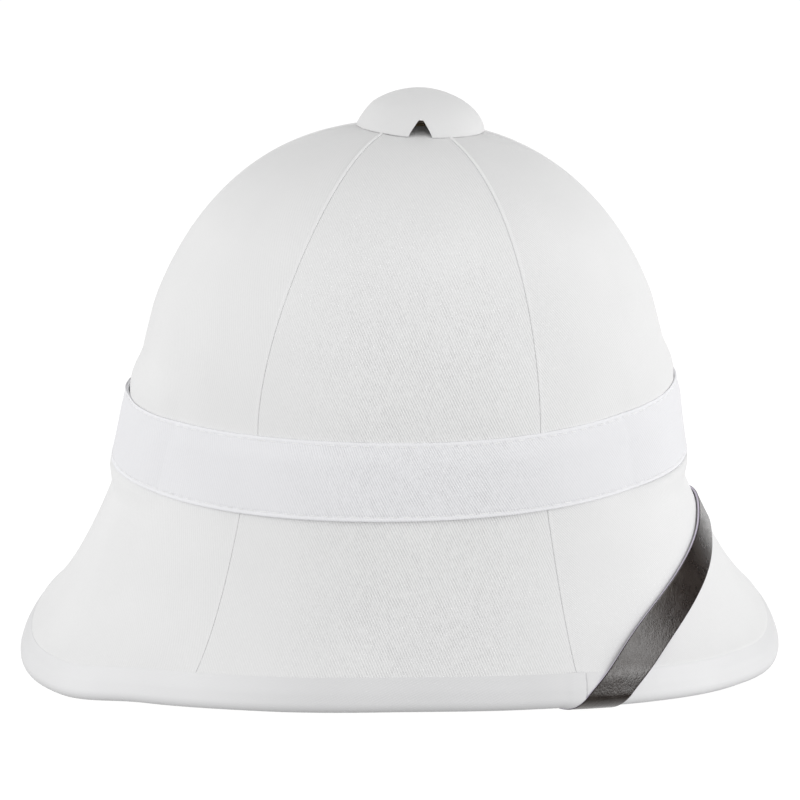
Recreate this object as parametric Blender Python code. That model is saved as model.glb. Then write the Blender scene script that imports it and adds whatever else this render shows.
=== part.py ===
"""Cloth-covered sun helmet with a hat band, a bound rim, a ventilator button and a
leather chin strap worn up over the front of the brim.

Metres, +Z up. The wearer faces -Y. The origin is on the floor under the middle of the rim.
One surface, helmet_surface(), gives the outside of the cloth. Every soft piece is a sheet
at its own depth under (or over) that surface, so neighbours run parallel with a small gap.
"""

import math

import bmesh
import bpy
import numpy as np

MM = 0.001

# Plan outlines, seen from above, in mm. power 2 is an ellipse. egg narrows the front.
PLAN = {
    # name:        half_length, half_width, power, egg, forward
    "crown_foot": (112.8, 96.3, 2.161, 0.0, 1.4),
    "break":      (118.4, 106.3, 2.117, 0.037, -0.6),
    "hem":        (159.7, 131.3, 2.284, 0.044, 0.0),
    "edge":       (163.35, 133.7, 2.284, 0.044, 0.0),
}
# Heights above the floor at the front, back and sides, in mm.
CROWN_FOOT_Z = (118.6, 112.1, 113.1)
BREAK_Z = (86.0, 84.1, 84.7)
CROWN_TOP_Z = 223.8
CROWN_POWER, CROWN_ROUND = 2.352, 1.684
PANEL_POLE_Y = 8.5          # the seams meet this far forward of the rim's middle
HEM_ABOVE_EDGE = 10.0
EDGE_ABOVE_ROUND = 1.0
BRIM_HOLLOW = 0.47          # how far the brim sags below a straight flare
# Height of the middle of the rounded rim: the sides are turned up.
RIM_HEIGHT = (
    # azimuth from the front, mm above the floor
    (-12.0, 4.0), (0.0, 4.0), (12.0, 4.0), (32.0, 10.7), (50.0, 16.7), (68.0, 20.6),
    (90.0, 22.2), (112.0, 21.6), (130.0, 18.8), (148.0, 9.4), (168.0, 4.0),
    (180.0, 4.0), (192.0, 4.0),
)
# Seam azimuths: at the crown's foot, then how they bend towards the button and the rim.
FRONT_SEAM = {"foot": 57.7, "bend": -4.1, "curl": 7.4, "brim": 2.9}
BACK_SEAM = {"foot": 122.2, "bend": -21.2, "curl": 21.9, "brim": -0.2}
PANELS = 6
COLUMNS = 8                 # facets across one panel

# Sheet depths in mm under the cloth's outer face (negative is outside it).
GAP = 0.3
COVER = (0.0, 1.0)
SHELL = (1.3, 5.8)
BAND_TOP, BAND_FOOT = 2.7, 1.8
BAND_EASE = (2.3, 2.9)      # how much further the band stands off at the front and back
BAND_EASE_TO = 36.0         # degrees from there where it lies close again
BINDING = 1.2               # thickness of the binding tape
ROUND_R, ROUND_DEPTH = 4.4, 2.9

# Profile rows: 0 button, 1 crown foot, 2 break under the band, 3 hem, 4 rim edge.
ROWS = (0.10, 0.27, 0.43, 0.57, 0.70, 0.81, 0.90, 0.96, 1.0,
        2.0, 2.2, 2.42, 2.65, 2.84, 3.0, 4.0)

# The button is half an ellipsoid, tilted with the crown, whose foot follows the crown.
BUTTON_Y, BUTTON_Z = 9.5, 221.9
BUTTON_R, BUTTON_H, BUTTON_WALL = 26.5, 16.2, 1.6
BUTTON_FULLNESS = 1.1       # 1 is a true ellipse, more has straighter flanks
BUTTON_TILT = math.radians(3.2)
BUTTON_SEAT = 0.35
NOTCH_Z = 220.7
NOTCH_ARCH = (
    # half width, height above the notch's foot
    (4.6, -4.0), (4.6, 0.0), (4.0, 2.0), (2.8, 4.2), (1.3, 6.2), (0.0, 6.9),
)

STRAP_W, STRAP_T, STRAP_GAP = 12.7, 1.6, 0.45
FOLD_EASE = 0.35            # the strap stands this much further off round the fold
# The strap's middle line: azimuth, then distance round the rim from its lowest line
# (plus outside, minus inside), in mm.
STRAP_LINE = (
    (0.0, 73.5), (13.0, 71.5), (20.5, 64.5), (26.5, 58.5), (33.0, 50.7), (38.5, 43.2),
    (44.5, 34.0), (48.5, 27.1), (54.0, 15.5), (59.8, 0.0), (66.0, -15.5), (71.0, -27.0),
    (76.0, -39.0), (81.0, -52.0), (86.0, -66.0),
)
STUD_FROM_END = 7.0
STUD_PIN_R, STUD_HEAD_R, STUD_HEAD_T, STUD_HOLE_R = 2.2, 4.6, 1.6, 2.6

COTTON = ("white_cotton", (0.86, 0.86, 0.84), 0.9)
BAND_COTTON = ("band_cotton", (0.84, 0.84, 0.84), 0.9)
TAPE = ("binding_tape", (0.80, 0.80, 0.79), 0.9)
PITH = ("pith", (0.62, 0.52, 0.36), 0.95)
LEATHER = ("black_leather", (0.035, 0.028, 0.026), 0.42)
STEEL = ("stud_steel", (0.55, 0.55, 0.54), 0.35)


def smooth_table(rows, at):
    """Curve through the rows of a table, flat where neighbours rise and fall."""
    x = np.array([r[0] for r in rows])
    y = np.array([r[1] for r in rows])
    step, slope = np.diff(x), np.diff(y) / np.diff(x)
    m = np.zeros_like(x)
    same = slope[1:] * slope[:-1] > 0
    mean = 2 * slope[1:] * slope[:-1] / np.where(same, slope[1:] + slope[:-1], 1.0)
    m[1:-1] = np.where(same, mean, 0.0)
    m[-1] = slope[-1]
    i = np.clip(np.searchsorted(x, at) - 1, 0, len(step) - 1)
    t = (at - x[i]) / step[i]
    rise = y[i] * (1 + 2 * t) * (1 - t) ** 2 + y[i + 1] * t * t * (3 - 2 * t)
    return rise + step[i] * t * (1 - t) * (m[i] * (1 - t) - m[i + 1] * t)


def rim_height(azimuth):
    return smooth_table(RIM_HEIGHT, np.abs((azimuth + 180.0) % 360.0 - 180.0))


def outline(name, azimuth):
    """Forward and sideways distance of a plan outline."""
    length, width, power, egg, forward = PLAN[name]
    c, s = np.cos(np.radians(azimuth)), np.sin(np.radians(azimuth))
    r = (np.abs(c / length) ** power + np.abs(s / width) ** power) ** (-1 / power)
    return forward + r * c, r * s * (1 - egg * c)


def ring_height(heights, azimuth):
    front, back, side = heights
    c = np.cos(np.radians(azimuth))
    ends = front * (1 + c) / 2 + back * (1 - c) / 2
    return ends * c * c + side * (1 - c * c)


def crown_height(forward, sideways):
    length, width, power, _, centre = PLAN["crown_foot"]
    du = forward - centre
    reach = np.abs(du / length) ** power + np.abs(sideways / width) ** power
    reach = np.clip(reach ** (1 / power), 0.0, 1.0)
    foot = ring_height(CROWN_FOOT_Z, np.degrees(np.arctan2(sideways, du)))
    return foot + (CROWN_TOP_Z - foot) * (1 - reach ** CROWN_POWER) ** (1 / CROWN_ROUND)


def helmet_surface(azimuth, row):
    """Outside of the cloth in mm: x, y, z for an azimuth and a profile row."""
    azimuth, row = np.broadcast_arrays(np.asarray(azimuth, float), np.asarray(row, float))
    foot, brk = outline("crown_foot", azimuth), outline("break", azimuth)
    hem, edge = outline("hem", azimuth), outline("edge", azimuth)
    foot_z, break_z = ring_height(CROWN_FOOT_Z, azimuth), ring_height(BREAK_Z, azimuth)
    rim = rim_height(azimuth)
    hem_z, edge_z = rim + HEM_ABOVE_EDGE, rim + EDGE_ABOVE_ROUND
    a = np.clip(row, 0.0, 1.0)
    b, c, d = (np.clip(row - k, 0.0, 1.0) for k in (1, 2, 3))
    crown = (PANEL_POLE_Y + (foot[0] - PANEL_POLE_Y) * a, foot[1] * a)
    flare = (1 - c) * (1 - BRIM_HOLLOW * c)
    parts = [row <= 1, row <= 2, row <= 3]
    out = []
    for k in (0, 1):
        out.append(np.select(parts, [
            crown[k], foot[k] + (brk[k] - foot[k]) * b, brk[k] + (hem[k] - brk[k]) * c,
        ], hem[k] + (edge[k] - hem[k]) * d))
    z = np.select(parts, [
        crown_height(*crown), foot_z + (break_z - foot_z) * b,
        hem_z + (break_z - hem_z) * flare,
    ], hem_z + (edge_z - hem_z) * d)
    return np.stack([-out[1], -out[0], z], -1)


def place(azimuth, row, depth, drop=0.0):
    """Point at a depth under the cloth, moved down the profile by drop."""
    p = helmet_surface(azimuth, row)
    round_about = helmet_surface(azimuth + 0.05, row) - helmet_surface(azimuth - 0.05, row)
    low, high = np.clip(row - 0.01, 0.001, 4.0), np.clip(row + 0.01, 0.001, 4.0)
    down = helmet_surface(azimuth, high) - helmet_surface(azimuth, low)
    normal = np.cross(down, round_about)
    normal /= np.linalg.norm(normal, axis=-1, keepdims=True)
    down = down / np.linalg.norm(down, axis=-1, keepdims=True)
    shape = p.shape[:-1]
    depth = np.broadcast_to(depth, shape)[..., None]
    drop = np.broadcast_to(drop, shape)[..., None]
    outward = np.sign(np.sum(normal * p * (1, 1, 0), -1, keepdims=True) + 1e-9)
    outward = np.where(np.broadcast_to(row, shape)[..., None] < 0.9, np.sign(normal[..., 2:]),
                       outward)
    return p - depth * normal * outward + drop * down


def seam_azimuths(row):
    near_top = 1 - np.clip(row, 0.0, 1.0)
    on_brim = np.clip(row - 2.0, 0.0, 1.0)
    return [s["foot"] + s["bend"] * near_top + s["curl"] * near_top ** 2 + s["brim"] * on_brim
            for s in (FRONT_SEAM, BACK_SEAM)]


def column_azimuth(column, row):
    """Azimuth of a column counted in panels: 0 front seam, 3 back seam."""
    column, row = np.broadcast_arrays(np.asarray(column, float), np.asarray(row, float))
    f, b = seam_azimuths(row)
    knots = [0 * f, f, b, 180 + 0 * f, 360 - b, 360 - f, 360 + 0 * f]
    k = np.clip(np.floor(column).astype(int), 0, PANELS - 1)
    left, right = np.choose(k, knots[:-1]), np.choose(k, knots[1:])
    return left + (right - left) * (column - k)


def sheet_solid(name, top, under, material, wrap=False):
    """Closed body between two grids of points in mm, [columns][rows][xyz]."""
    cols, rows = top.shape[:2]
    verts = np.concatenate([top.reshape(-1, 3), under.reshape(-1, 3)]) * MM
    base = cols * rows
    faces = []

    def quad(a, b, c, d):
        faces.extend([(a, b, c), (a, c, d)])

    last = cols if wrap else cols - 1
    for i in range(last):
        n = (i + 1) % cols
        for j in range(rows - 1):
            a, b, c, d = i * rows + j, n * rows + j, n * rows + j + 1, i * rows + j + 1
            quad(a, b, c, d)
            faces.extend([(base + c, base + b, base + a), (base + d, base + c, base + a)])
        for j in (0, rows - 1):
            quad(i * rows + j, n * rows + j, base + n * rows + j, base + i * rows + j)
    if not wrap:
        for i in (0, cols - 1):
            for j in range(rows - 1):
                a, b = i * rows + j, i * rows + j + 1
                quad(a, b, base + b, base + a)
    return make_object(name, verts, faces, material)


def make_object(name, verts, faces, material):
    mesh = bpy.data.meshes.new(name)
    mesh.from_pydata([tuple(float(x) for x in v) for v in verts], [], faces)
    bm = bmesh.new()
    bm.from_mesh(mesh)
    bmesh.ops.recalc_face_normals(bm, faces=bm.faces)
    bm.to_mesh(mesh)
    bm.free()
    for polygon in mesh.polygons:
        polygon.use_smooth = True
    obj = bpy.data.objects.new(name, mesh)
    bpy.context.collection.objects.link(obj)
    mesh.materials.append(get_material(*material))
    return obj


def get_material(name, colour, roughness, metallic=0.0):
    material = bpy.data.materials.get(name)
    if material is None:
        material = bpy.data.materials.new(name)
        material.use_nodes = True
        shader = material.node_tree.nodes["Principled BSDF"]
        shader.inputs["Base Color"].default_value = (*colour, 1.0)
        shader.inputs["Roughness"].default_value = roughness
        shader.inputs["Metallic"].default_value = metallic
    return material


def ring_columns():
    return (np.arange(PANELS * COLUMNS) / COLUMNS)[:, None]


def make_shell():
    """Pith body, open below, with a vent hole at the top and a chamfered lower edge."""
    rows = np.array(ROWS)[None, :]
    azimuth = column_azimuth(ring_columns(), rows)
    outer = place(azimuth, rows, SHELL[0])
    inner = place(azimuth, rows, SHELL[1], np.where(rows == 4.0, -0.4, 0.0))
    edge = azimuth[:, -1:]
    outer = np.concatenate([outer, place(edge, 4.0, 2.4, 1.6)], 1)
    inner = np.concatenate([inner, place(edge, 4.0, 4.7, 1.6)], 1)
    sheet_solid("pith_shell", outer, inner, PITH, wrap=True)


def make_panel(index, name):
    """One cloth gore from the button to the rim, half a gap short of each seam."""
    rows = np.array(ROWS)[None, :]
    first = helmet_surface(column_azimuth(index, rows), rows)
    last = helmet_surface(column_azimuth(index + 1 - 1e-9, rows), rows)
    inset = GAP / 2 / np.linalg.norm(last - first, axis=-1)
    part = (np.arange(COLUMNS + 1) / COLUMNS)[:, None]
    column = index + np.clip(part, inset, 1 - inset)
    azimuth = column_azimuth(column, rows)
    sheet_solid(name, place(azimuth, rows, COVER[0]), place(azimuth, rows, COVER[1]), COTTON)


def band_ease(azimuth):
    """Extra distance of the band from the crown, at the helmet's front and back."""
    c = np.cos(np.radians(azimuth))
    part = np.clip((np.abs(c) - math.cos(math.radians(BAND_EASE_TO)))
                   / (1 - math.cos(math.radians(BAND_EASE_TO))), 0.0, 1.0)
    return np.where(c > 0, *BAND_EASE) * part * (2 - part)


def make_band():
    rows = np.array((1.0, 1.06, 1.94, 2.0))[None, :]
    outer = np.array((BAND_TOP - 0.4, BAND_TOP, BAND_FOOT, BAND_FOOT - 0.4))[None, :]
    azimuth = column_azimuth(ring_columns(), rows)
    ease = band_ease(azimuth)
    sheet_solid("hat_band", place(azimuth, rows, -outer - ease),
                place(azimuth, rows, -GAP - ease), BAND_COTTON, wrap=True)


def make_binding():
    """Tape folded round the rim. Its foot is pressed flat where the helmet rests."""
    columns = ring_columns()
    hem, edge = column_azimuth(columns, 3.0), column_azimuth(columns, 4.0)

    def face(radius):
        turn = np.radians(np.arange(0, 181, 30))[None, :]
        depth = ROUND_DEPTH - radius * np.cos(turn)
        around = place(edge, 4.0 + 0 * depth, depth, radius * np.sin(turn))
        outside = place(hem, 3.0, ROUND_DEPTH - radius)
        inside = place(hem, 3.0, ROUND_DEPTH + radius)
        points = np.concatenate([outside, around, inside], 1)
        points[..., 2] = np.maximum(points[..., 2], max(0.0, ROUND_R - radius))
        return points

    sheet_solid("rim_binding", face(ROUND_R), face(ROUND_R - BINDING), TAPE, wrap=True)


def make_button():
    """Hollow cloth-covered dome with a pointed vent notch on each side."""
    around, slices = 32, np.radians((0, 18, 36, 54, 72, 87))
    full = BUTTON_FULLNESS
    lean, upright = math.sin(BUTTON_TILT), math.cos(BUTTON_TILT)
    inner_r, inner_h = BUTTON_R - BUTTON_WALL, BUTTON_H - BUTTON_WALL
    sections = [(BUTTON_R * math.sin(a) ** full, BUTTON_H * math.cos(a) ** full)
                for a in slices]
    sections += [(BUTTON_R, None), (inner_r, None)]
    sections += [(inner_r * math.sin(a) ** full, inner_h * math.cos(a) ** full)
                 for a in np.radians((84, 60, 40, 20, 0))]
    turn = 2 * math.pi * np.arange(around) / around
    rings = []
    for r, h in sections:
        forward, side = r * np.cos(turn), r * np.sin(turn)
        if h is None:
            ahead = BUTTON_Y + forward
            z = crown_height(ahead, side) + BUTTON_SEAT
        else:
            ahead = BUTTON_Y + forward * upright + h * lean
            z = BUTTON_Z - forward * lean + h * upright
        rings.append(np.stack([-side, -ahead, z], -1))
    verts = [rings[0][0]] + [p for ring in rings[1:-1] for p in ring] + [rings[-1][0]]
    faces, count = [], len(rings) - 2
    for i in range(around):
        n = (i + 1) % around
        faces.append((0, 1 + i, 1 + n))
        for k in range(count - 1):
            a, b = 1 + k * around + i, 1 + k * around + n
            faces.extend([(a, a + around, b + around), (a, b + around, b)])
        last = 1 + (count - 1) * around
        faces.append((last + i, len(verts) - 1, last + n))
    button = make_object("vent_button", np.array(verts) * MM, faces, COTTON)
    cut_with(button, notch_cutter())


def notch_cutter():
    """Prism with a pointed arch, right across the button."""
    arch = [(-w, h) for w, h in NOTCH_ARCH] + [(w, h) for w, h in NOTCH_ARCH[-2::-1]]
    verts, n = [], len(arch)
    for x in (-BUTTON_R - 5, BUTTON_R + 5):
        verts += [(x * MM, -(BUTTON_Y + u) * MM, (NOTCH_Z + h) * MM) for u, h in arch]
    faces = [tuple(range(n)), tuple(range(2 * n - 1, n - 1, -1))]
    faces += [(i, (i + 1) % n, n + (i + 1) % n, n + i) for i in range(n)]
    return make_object("notch_cutter", np.array(verts), faces, COTTON)


def cut_with(obj, cutter):
    """Cut by a boolean, then bake it and remove the cutter."""
    cut = obj.modifiers.new("cut", "BOOLEAN")
    cut.operation, cut.solver, cut.object = "DIFFERENCE", "EXACT", cutter
    bpy.context.view_layer.update()
    graph = bpy.context.evaluated_depsgraph_get()
    baked = bpy.data.meshes.new_from_object(obj.evaluated_get(graph))
    obj.modifiers.clear()
    obj.data = baked
    bpy.data.objects.remove(cutter, do_unlink=True)


def wrap_profile(azimuth):
    """The strap's mid surface at one azimuth: distances round the rim and points."""
    lift = STRAP_GAP + STRAP_T / 2
    brim = np.concatenate([np.linspace(1.5, 3.0, 31), [4.0]])
    over = np.interp(brim, (2.72, 2.98), (0.0, ROUND_R - ROUND_DEPTH + FOLD_EASE))
    under = np.interp(brim, (2.72, 2.98), (SHELL[1], ROUND_DEPTH + ROUND_R + FOLD_EASE))
    turn = np.radians(np.arange(7.5, 180, 7.5))
    radius = ROUND_R + FOLD_EASE + lift
    arc = place(azimuth, np.full_like(turn, 4.0), ROUND_DEPTH - radius * np.cos(turn),
                radius * np.sin(turn))
    points = np.concatenate([
        place(azimuth, brim, -over - lift), arc, place(azimuth, brim, under + lift)[::-1]])
    length = np.concatenate([[0], np.cumsum(np.linalg.norm(np.diff(points, axis=0), axis=1))])
    lowest = len(brim) + len(turn) // 2
    return length[lowest] - length, points


def wrap_point(azimuth, distance):
    along, points = wrap_profile(azimuth)
    return np.array([np.interp(-distance, -along, points[:, k]) for k in range(3)])


def strap_middle():
    """Azimuth and rim distance along the strap's right half, denser at the fold."""
    rows = np.array(STRAP_LINE)
    steps = np.concatenate([np.linspace(0, 44, 9), np.linspace(48, 54, 5)[:-1],
                            np.linspace(54, 66, 16), np.linspace(68, 86, 6)])
    return [(a, float(smooth_table(STRAP_LINE, np.array([a]))[0])) for a in steps]


def make_strap():
    """Leather strip: over the front of the brim, round the rim, up to each side inside."""
    half = strap_middle()
    line = [(-a, w) for a, w in half[:0:-1]] + half
    offsets = np.linspace(-STRAP_W / 2, STRAP_W / 2, 5)
    top, under = [], []
    for k, (a, w) in enumerate(line):
        step = 0.2
        per_degree = np.linalg.norm(wrap_point(a + step, w) - wrap_point(a - step, w)) / 2 / step
        lo, hi = line[max(k - 1, 0)], line[min(k + 1, len(line) - 1)]
        run = np.array([(hi[0] - lo[0]) * per_degree, hi[1] - lo[1]])
        run /= np.linalg.norm(run)
        for rows, side in ((top, 1), (under, -1)):
            rows.append([])
            for off in offsets:
                az, dist = a - off * run[1] / per_degree, w + off * run[0]
                p = wrap_point(az, dist)
                across = wrap_point(az + step, dist) - wrap_point(az - step, dist)
                down = wrap_point(az, dist - 0.3) - wrap_point(az, dist + 0.3)
                normal = np.cross(across, down)
                normal /= np.linalg.norm(normal)
                rows[-1].append(p + side * STRAP_T / 2 * normal)
    strap = sheet_solid("chin_strap", np.array(top), np.array(under), LEATHER)
    for side in (1, -1):
        centre, normal = stud_seat(side)
        rings = ((STUD_HOLE_R, -3.0), (STUD_HOLE_R, 5.0))
        cut_with(strap, make_pin("hole_cutter", centre, normal, rings, 16))


def stud_seat(side):
    """Centre of the strap's end hole on the shell's inner face, and the inward normal."""
    a, w = strap_middle()[-1]
    w += STUD_FROM_END
    rows = np.array(STRAP_LINE)[::-1]
    a = side * float(np.interp(w, rows[:, 1], rows[:, 0]))
    p = wrap_point(a, w)
    across = wrap_point(a + 0.2, w) - wrap_point(a - 0.2, w)
    down = wrap_point(a, w - 0.3) - wrap_point(a, w + 0.3)
    normal = np.cross(across, down)
    normal /= np.linalg.norm(normal)
    return p - normal * (STRAP_GAP + STRAP_T / 2), normal


def make_pin(name, centre, axis, rings, around, material=STEEL):
    """Turned body: rings are (radius, height) along the axis, with flat ends."""
    side = np.cross(axis, (0.0, 0.0, 1.0))
    side /= np.linalg.norm(side)
    up = np.cross(side, axis)
    verts = []
    for radius, height in rings:
        for i in range(around):
            t = 2 * math.pi * i / around
            verts.append(centre + axis * height + radius * (side * math.cos(t)
                                                            + up * math.sin(t)))
    faces = [tuple(range(around)),
             tuple(range(len(rings) * around - 1, (len(rings) - 1) * around - 1, -1))]
    for k in range(len(rings) - 1):
        for i in range(around):
            n = (i + 1) % around
            a, b = k * around + i, k * around + n
            faces.append((a, b, b + around, a + around))
    return make_object(name, np.array(verts) * MM, faces, material)


def make_studs():
    head = STRAP_GAP + STRAP_T + GAP
    rings = ((STUD_PIN_R, GAP), (STUD_PIN_R, head), (STUD_HEAD_R, head),
             (STUD_HEAD_R, head + 0.9), (STUD_HEAD_R - 1.4, head + STUD_HEAD_T))
    for side, name in ((1, "strap_stud_right"), (-1, "strap_stud_left")):
        make_pin(name, *stud_seat(side), rings, 16)


def main():
    for obj in list(bpy.data.objects):
        bpy.data.objects.remove(obj, do_unlink=True)
    make_shell()
    names = ("panel_front_right", "panel_right", "panel_back_right",
             "panel_back_left", "panel_left", "panel_front_left")
    for index, name in enumerate(names):
        make_panel(index, name)
    make_band()
    make_binding()
    make_button()
    make_strap()
    make_studs()


main()
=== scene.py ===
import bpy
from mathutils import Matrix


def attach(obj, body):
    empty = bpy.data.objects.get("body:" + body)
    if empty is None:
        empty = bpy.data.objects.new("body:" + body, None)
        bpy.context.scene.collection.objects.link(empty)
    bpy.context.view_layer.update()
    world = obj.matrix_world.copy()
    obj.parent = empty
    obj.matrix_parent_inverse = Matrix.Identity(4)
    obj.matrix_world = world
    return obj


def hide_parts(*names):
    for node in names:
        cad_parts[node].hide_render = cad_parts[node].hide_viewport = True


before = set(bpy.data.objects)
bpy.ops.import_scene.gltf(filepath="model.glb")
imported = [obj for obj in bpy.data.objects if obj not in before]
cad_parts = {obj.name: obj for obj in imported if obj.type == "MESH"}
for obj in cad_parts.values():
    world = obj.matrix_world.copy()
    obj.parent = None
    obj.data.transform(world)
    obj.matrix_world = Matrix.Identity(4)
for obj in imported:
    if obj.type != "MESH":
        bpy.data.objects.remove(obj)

"""Dressed sun helmet: cotton twill gores, stitched hat band, bound rim, ventilator button
and leather chin strap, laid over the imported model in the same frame.

Lengths inside the script are in mm, and the meshes are made in metres. The wearer faces -Y.
Azimuths run from the front towards the wearer's right. The surface below is the same one that
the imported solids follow, so each piece lies where its solid is.
"""

import math

import bpy
import numpy as np
from mathutils import Quaternion, Vector

MM = 0.001
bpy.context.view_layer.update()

# Plan outlines, seen from above, in mm. power 2 is an ellipse. egg narrows the front.
PLAN = {
    # name:        half_length, half_width, power, egg, forward
    "crown_foot": (112.8, 96.3, 2.161, 0.0, 1.4),
    "break":      (118.4, 106.3, 2.117, 0.037, -0.6),
    "hem":        (159.7, 131.3, 2.284, 0.044, 0.0),
    "edge":       (163.35, 133.7, 2.284, 0.044, 0.0),
}
CROWN_FOOT_Z = (118.6, 112.1, 113.1)      # front, back, sides
BREAK_Z = (86.0, 84.1, 84.7)
CROWN_TOP_Z = 223.8
CROWN_POWER, CROWN_ROUND = 2.352, 1.684
PANEL_POLE_Y = 8.5
HEM_ABOVE_EDGE = 10.0
EDGE_ABOVE_ROUND = 1.0
BRIM_HOLLOW = 0.47
RIM_HEIGHT = (
    # azimuth from the front, mm above the floor
    (-12.0, 4.0), (0.0, 4.0), (12.0, 4.0), (32.0, 10.7), (50.0, 16.7), (68.0, 20.6),
    (90.0, 22.2), (112.0, 21.6), (130.0, 18.8), (148.0, 9.4), (168.0, 4.0),
    (180.0, 4.0), (192.0, 4.0),
)
FRONT_SEAM = {"foot": 57.7, "bend": -4.1, "curl": 7.4, "brim": 2.9}
BACK_SEAM = {"foot": 122.2, "bend": -21.2, "curl": 21.9, "brim": -0.2}
PANELS = 6

GAP = 0.3
COVER = (0.0, 1.0)                        # depths of the cloth's two faces
SHELL = (1.3, 5.8)
BAND_TOP, BAND_FOOT = 2.7, 1.8
BAND_WIDTH = 29.0
BAND_EASE = (2.3, 2.9)                    # extra distance off the crown at front and back
BAND_EASE_TO = 36.0                       # degrees from there
BAND_TUCK = 2.10                          # how far the top edge is drawn in at the sides
BAND_FRONT_LEAN = 1.3                     # extra distance of its foot at the front
CLOTH_OUT_BELOW = (2.7, 1.3)              # how far the cloth fills in under it, front, back
CLOTH_IN_ABOVE = 0.65
END_SPREAD = 40.0                         # degrees from the front and back where that fades
BINDING = 1.2
ROUND_R, ROUND_DEPTH = 4.4, 2.9

BUTTON_Y, BUTTON_Z = 9.5, 221.9
BUTTON_R, BUTTON_H, BUTTON_WALL = 26.5, 16.2, 1.6
BUTTON_FULLNESS = 1.1
BUTTON_FLARE = 1.2                        # its edge turns out a little, most at the back
BUTTON_TILT = math.radians(3.2)
NOTCH_Z = 220.7
NOTCH_ARCH = (
    # half width, height above the notch's foot
    (0.0, 6.9), (0.9, 6.6), (1.5, 5.9), (3.0, 3.5), (4.1, 1.6), (4.8, 0.0), (5.6, -3.0),
)

STRAP_W, STRAP_T, STRAP_GAP = 12.6, 1.4, 0.30
FOLD_EASE = 0.35
STRAP_LEAN = 4.0                          # how far it has slipped on the left of the front
STRAP_LINE = (
    # azimuth, mm round the rim: plus outside, minus inside
    (0.0, 71.0), (6.0, 70.6), (12.2, 68.0), (18.0, 63.9), (24.0, 58.1), (30.8, 50.2),
    (36.7, 42.8), (42.6, 34.1), (46.7, 27.5), (53.0, 14.8), (59.0, 0.0), (65.7, -15.5),
    (71.0, -27.0), (76.0, -39.0), (81.0, -52.0), (86.0, -66.0),
)
STUD_FROM_END = 7.0
STUD_PIN_R, STUD_HEAD_R, STUD_HEAD_T = 2.2, 4.6, 1.6

# Cloth detail
WEAVES = {
    # cloth:  rib slope in degrees, rib pitch, cross slope, cross pitch
    "gore":   (63.0, 0.94, -64.0, 0.90),
    "band":   (59.0, 0.94, -60.0, 0.92),
    "tape":   (-23.0, 0.90, 62.0, 1.0),
    "button": (48.0, 0.90, -60.0, 0.90),
}
STITCH_PITCH, STITCH_LENGTH = 4.8, 3.7
STITCH_INSET = 1.75                       # from the band's edges
THREAD_R = 0.21
TAPE_JOINT, JOINT_SLANT = 59.3, 0.16      # azimuth of the binding's joint, mm for each mm down
STRAP_DENT = 0.80                         # how far it presses into the binding there

# The photograph's camera
CAMERA_AZIMUTH, CAMERA_ELEVATION = 271.036, 14.763
CAMERA_DISTANCE = 0.8161
CAMERA_TARGET = (0.0, -0.0004, 0.1046)
CAMERA_LENS, CAMERA_ROLL = 85.2, -0.267

LIGHTS = (
    # name, azimuth, elevation, distance, width, power
    ("light_front", 335.0, 22.0, 1.7, 1.0, 4.3),
    ("light_back", 205.0, 22.0, 1.7, 1.0, 6.3),
)
WORLD_BASE = 0.905
WORLD_LOBES = (
    # name, azimuth, elevation, spread, strength
    ("zenith", 0.0, 90.0, 90.0, -0.57),
    ("floor", 0.0, -90.0, 90.0, -0.76),
    ("camera_side", 271.0, 0.0, 80.0, -0.25),
    ("camera_mid", 271.0, 35.0, 50.0, 0.34),
    ("front_side", 320.0, 0.0, 70.0, 0.33),
    ("front_far", 0.0, 10.0, 70.0, 0.33),
    ("back_far", 180.0, 10.0, 70.0, 0.36),
    ("far_side", 91.0, 20.0, 70.0, 0.25),
)
# Reflections: a dark studio with soft boxes in front of the helmet.
GLOSS_BASE = 0.08
GLOSS_LOBES = (
    ("soft_box", 6.0, 50.0, 23.0, 5.6),
    ("between", 340.0, 31.0, 20.0, 4.2),
    ("side_box", 328.0, 21.0, 18.0, 6.3),
    ("far_glow", 63.0, -8.0, 13.0, 1.9),
    ("below", 0.0, -90.0, 82.0, 1.8),
)
FLOOR_GLOW, FLOOR_WHITE, FLOOR_RADIUS = 0.985, 0.12, 1.4


def smoothstep(a, b, x):
    t = np.clip((x - a) / (b - a), 0.0, 1.0)
    return t * t * (3 - 2 * t)


def unit(vectors):
    return vectors / np.linalg.norm(vectors, axis=-1, keepdims=True)


# Surface of the helmet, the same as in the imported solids

def smooth_table(rows, at):
    """Curve through the rows of a table, flat where neighbours rise and fall."""
    x, y = np.array(rows).T
    step, slope = np.diff(x), np.diff(y) / np.diff(x)
    m = np.zeros_like(x)
    same = slope[1:] * slope[:-1] > 0
    mean = 2 * slope[1:] * slope[:-1] / np.where(same, slope[1:] + slope[:-1], 1.0)
    m[1:-1] = np.where(same, mean, 0.0)
    m[-1] = slope[-1]
    i = np.clip(np.searchsorted(x, at) - 1, 0, len(step) - 1)
    t = (at - x[i]) / step[i]
    rise = y[i] * (1 + 2 * t) * (1 - t) ** 2 + y[i + 1] * t * t * (3 - 2 * t)
    return rise + step[i] * t * (1 - t) * (m[i] * (1 - t) - m[i + 1] * t)


def rim_height(azimuth):
    """Lowest line of the rim above the floor."""
    return smooth_table(RIM_HEIGHT, np.abs((azimuth + 180.0) % 360.0 - 180.0))


def outline(name, azimuth):
    """Point of a plan outline: mm forward and mm to the side."""
    length, width, power, egg, forward = PLAN[name]
    c, s = np.cos(np.radians(azimuth)), np.sin(np.radians(azimuth))
    r = (np.abs(c / length) ** power + np.abs(s / width) ** power) ** (-1 / power)
    return forward + r * c, r * s * (1 - egg * c)


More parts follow.
